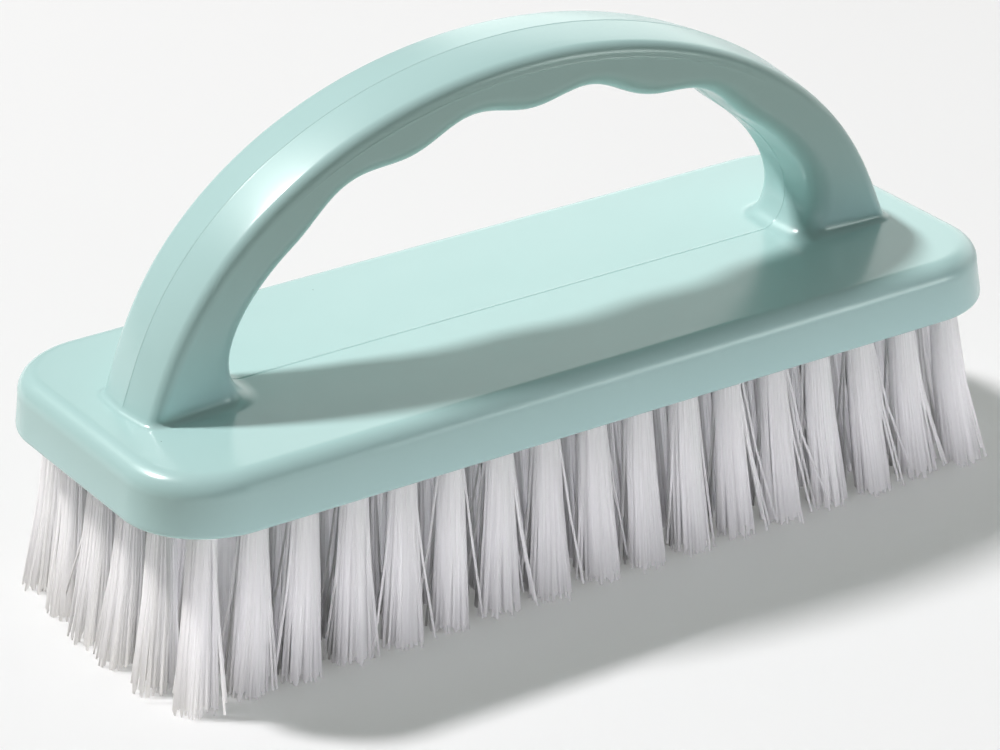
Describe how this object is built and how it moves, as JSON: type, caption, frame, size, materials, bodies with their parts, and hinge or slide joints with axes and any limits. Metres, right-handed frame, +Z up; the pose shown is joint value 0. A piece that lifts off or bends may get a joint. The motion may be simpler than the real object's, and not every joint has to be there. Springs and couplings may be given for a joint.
{
  "type": "scrub brush",
  "caption": "Hand scrub brush: a rounded plastic block with a bridge handle moulded over it, scooped for the fingers, and stiff tufts of bristle set in sockets underneath.",
  "frame": {"origin": "on the floor under the middle of the brush, at the level of the bristle tips", "axes": "+X along the brush, +Y across it, +Z up towards the handle"},
  "size_m": [0.155, 0.06, 0.0834],
  "materials": {
    "moulding": "satin gloss, moulded",
    "bristle": "extruded filament, slightly translucent",
    "anchor": "drawn flat wire"
  },
  "bodies": {
    "root": {"handle_block": "moulding", "tuft_column_01": "bristle", "tuft_column_02": "bristle", "tuft_column_03": "bristle", "tuft_column_04": "bristle", "tuft_column_05": "bristle", "tuft_column_06": "bristle", "tuft_column_07": "bristle", "tuft_column_08": "bristle", "tuft_column_09": "bristle", "tuft_column_10": "bristle", "tuft_column_11": "bristle", "tuft_column_12": "bristle", "tuft_column_13": "bristle", "tuft_column_14": "bristle", "tuft_column_15": "bristle", "tuft_column_16": "bristle", "tuft_column_17": "bristle", "anchor_column_01": "anchor", "anchor_column_02": "anchor", "anchor_column_03": "anchor", "anchor_column_04": "anchor", "anchor_column_05": "anchor", "anchor_column_06": "anchor", "anchor_column_07": "anchor", "anchor_column_08": "anchor", "anchor_column_09": "anchor", "anchor_column_10": "anchor", "anchor_column_11": "anchor", "anchor_column_12": "anchor", "anchor_column_13": "anchor", "anchor_column_14": "anchor", "anchor_column_15": "anchor", "anchor_column_16": "anchor", "anchor_column_17": "anchor"}
  },
  "joints": []
}
